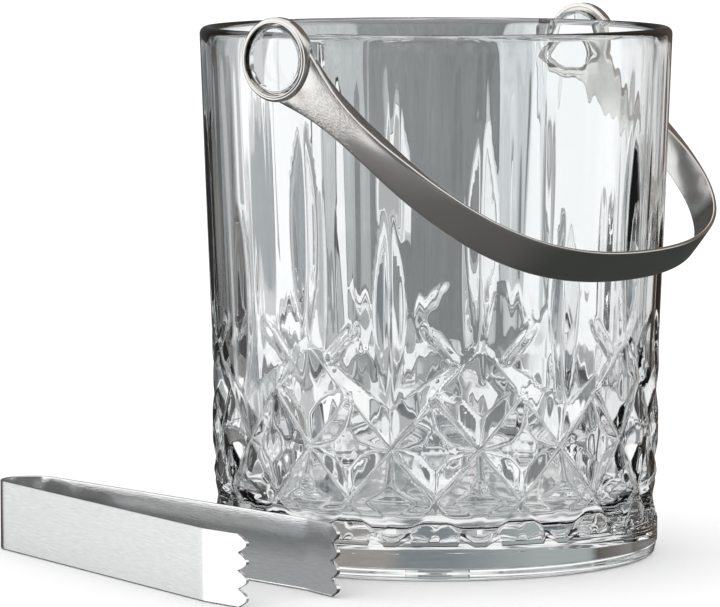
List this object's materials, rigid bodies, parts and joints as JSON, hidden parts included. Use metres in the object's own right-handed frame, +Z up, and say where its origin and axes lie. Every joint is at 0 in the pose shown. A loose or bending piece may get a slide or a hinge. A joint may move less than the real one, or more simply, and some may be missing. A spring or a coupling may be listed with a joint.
{
  "type": "ice bucket",
  "caption": "Round pressed-glass ice bucket with cut leaf and diamond pattern, swinging steel strap handle on glass lugs, and sprung steel ice tongs beside it.",
  "frame": {"origin": "centre of the bucket's flat base, on the surface it stands on", "axes": "+Z up, the handle's hinge along X through the glass lugs, the folded handle towards -Y, the tongs on the -X side"},
  "size_m": [0.1868, 0.1692, 0.1494],
  "materials": {
    "glass": "clear pressed crystal glass, polished",
    "handle_steel": "polished steel with fine hand-finishing marks near the eyes",
    "eyelet_steel": "polished steel",
    "tongs_steel": "satin, brushed along the strip"
  },
  "bodies": {
    "bucket": {"glass_bucket": "glass"},
    "handle": {"handle_strap": "handle_steel", "handle_eyelet_left": "eyelet_steel", "handle_eyelet_right": "eyelet_steel"},
    "tongs": {"tongs_bow": "tongs_steel"},
    "arm_outer": {"tongs_arm_outer": "tongs_steel"},
    "arm_inner": {"tongs_arm_inner": "tongs_steel"}
  },
  "joints": [
    {"name": "handle_swing", "type": "hinge", "parent": "bucket", "child": "handle", "pos_m": [0, 0, 0.1382], "axis": [-1, 0, 0], "range_deg": [0, 259]},
    {"name": "tongs_lift", "type": "slide", "parent": "bucket", "child": "tongs", "axis": [0, 0, 1], "range_m": [0, 0.2]},
    {"name": "arm_outer_squeeze", "type": "hinge", "parent": "tongs", "child": "arm_outer", "pos_m": [-0.07805, 0.08435, 0.0095], "axis": [0, 0, 1], "range_deg": [0, 6], "stiffness_Nm_per_rad": 1.5},
    {"name": "arm_inner_squeeze", "type": "hinge", "parent": "tongs", "child": "arm_inner", "pos_m": [-0.06178, 0.07987, 0.0095], "axis": [0, 0, 1], "range_deg": [-6, 0], "stiffness_Nm_per_rad": 1.5}
  ],
  "couplings": [
    {"joint": "arm_inner_squeeze", "follows": "arm_outer_squeeze", "ratio": -1}
  ]
}
